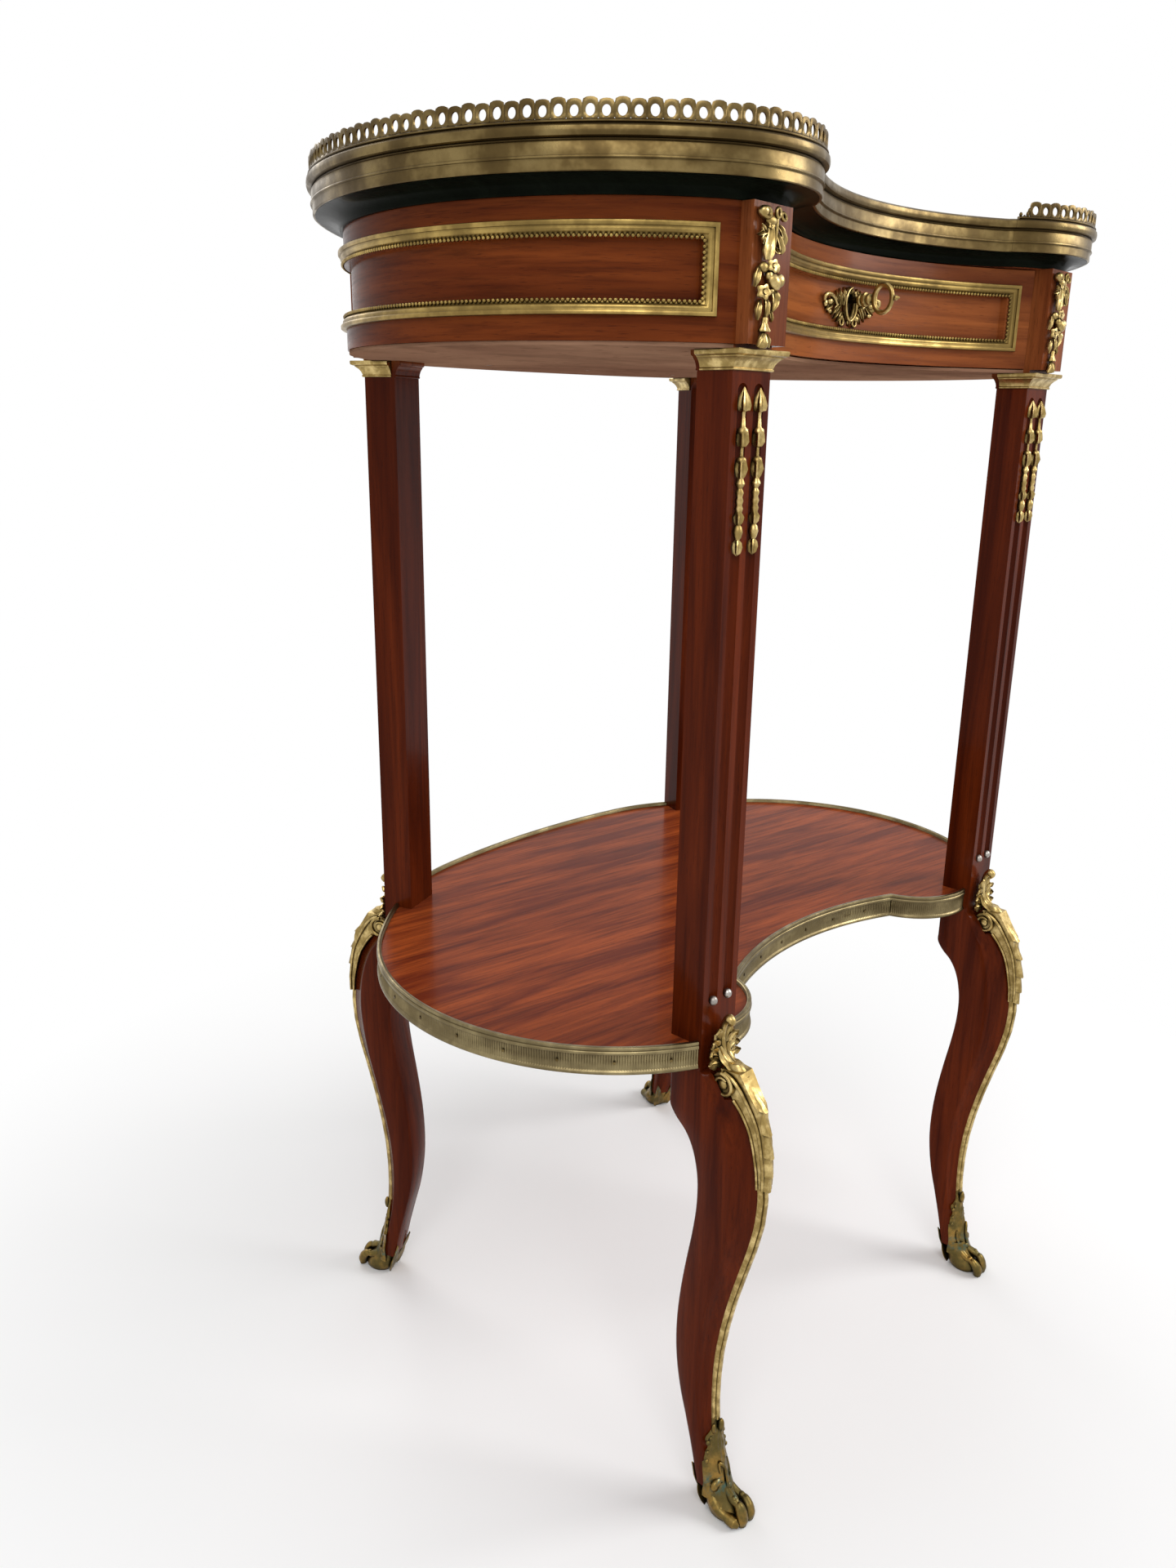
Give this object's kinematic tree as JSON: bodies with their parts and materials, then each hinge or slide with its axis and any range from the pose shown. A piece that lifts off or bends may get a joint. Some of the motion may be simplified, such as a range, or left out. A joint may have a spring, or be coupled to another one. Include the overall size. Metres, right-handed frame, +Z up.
{
  "type": "kidney table",
  "caption": "Kidney-shaped side table with pierced brass gallery, concave frieze drawer with lock and key, fluted posts, lower shelf and cabriole legs on paw feet.",
  "frame": {"origin": "centre of the bounding box on the floor, under the feet", "axes": "+Z up, -Y towards the concave drawer side, +X to the right of someone facing the drawer"},
  "size_m": [0.5306, 0.368, 0.752],
  "materials": {
    "top_veneer": "glossy shellac over figured veneer",
    "frieze_veneer": "glossy shellac over striped veneer",
    "drawer_veneer": "satin shellac over faded veneer",
    "leg_wood": "glossy shellac",
    "black_cove": "black paint, satin",
    "oak": "bare, aged",
    "aged_brass": "tarnished",
    "gilt": "cast and worn gilding",
    "steel": "aged"
  },
  "bodies": {
    "table": {"top_board": "top_veneer", "top_band": "aged_brass", "top_band_front": "aged_brass", "gallery_left": "aged_brass", "gallery_back": "aged_brass", "gallery_right": "aged_brass", "soffit": "black_cove", "frieze_left": "frieze_veneer", "frieze_right": "frieze_veneer", "frieze_back": "frieze_veneer", "frame_left": "aged_brass", "frame_right": "aged_brass", "frame_back": "aged_brass", "bottom_board": "frieze_veneer", "post_fl": "leg_wood", "post_fr": "leg_wood", "post_bl": "leg_wood", "post_br": "leg_wood", "cabriole_fl": "leg_wood", "cabriole_fr": "leg_wood", "cabriole_bl": "leg_wood", "cabriole_br": "leg_wood", "capital_fl": "gilt", "capital_fr": "gilt", "capital_bl": "gilt", "capital_br": "gilt", "flute_drops": "gilt", "stile_mount_fl": "gilt", "stile_mount_fr": "gilt", "stile_mount_bl": "gilt", "stile_mount_br": "gilt", "knee_mount_fl": "gilt", "knee_mount_fr": "gilt", "knee_mount_bl": "gilt", "knee_mount_br": "gilt", "leg_fillets": "aged_brass", "sabot_fl": "gilt", "sabot_fr": "gilt", "sabot_bl": "gilt", "sabot_br": "gilt", "shelf_board": "top_veneer", "shelf_band_left": "aged_brass", "shelf_band_right": "aged_brass", "shelf_band_back": "aged_brass", "shelf_band_front": "aged_brass", "band_pins": "aged_brass", "drawer_guides": "oak", "drawer_kickers": "oak", "drawer_stop": "oak", "bottom_screws": "steel"},
    "drawer": {"drawer_front": "drawer_veneer", "drawer_sides": "oak", "drawer_back": "oak", "drawer_bottom": "oak", "drawer_frame": "aged_brass", "escutcheon": "gilt", "lock_case": "aged_brass", "lock_screws": "steel"},
    "lock_bolt": {"lock_bolt": "steel"},
    "key": {"key": "gilt"}
  },
  "joints": [
    {"name": "drawer_slide", "type": "slide", "parent": "table", "child": "drawer", "axis": [0, -1, 0], "range_m": [0, 0.14]},
    {"name": "key_turn", "type": "hinge", "parent": "drawer", "child": "key", "pos_m": [0, -0.1, 0.6925], "axis": [0, -1, 0], "range_deg": [0, 180]},
    {"name": "bolt_throw", "type": "slide", "parent": "drawer", "child": "lock_bolt", "axis": [0, 0, 1], "range_m": [0, 0.006]}
  ],
  "couplings": [
    {"joint": "bolt_throw", "follows": "key_turn", "m_per_rad": 0.0019099}
  ]
}
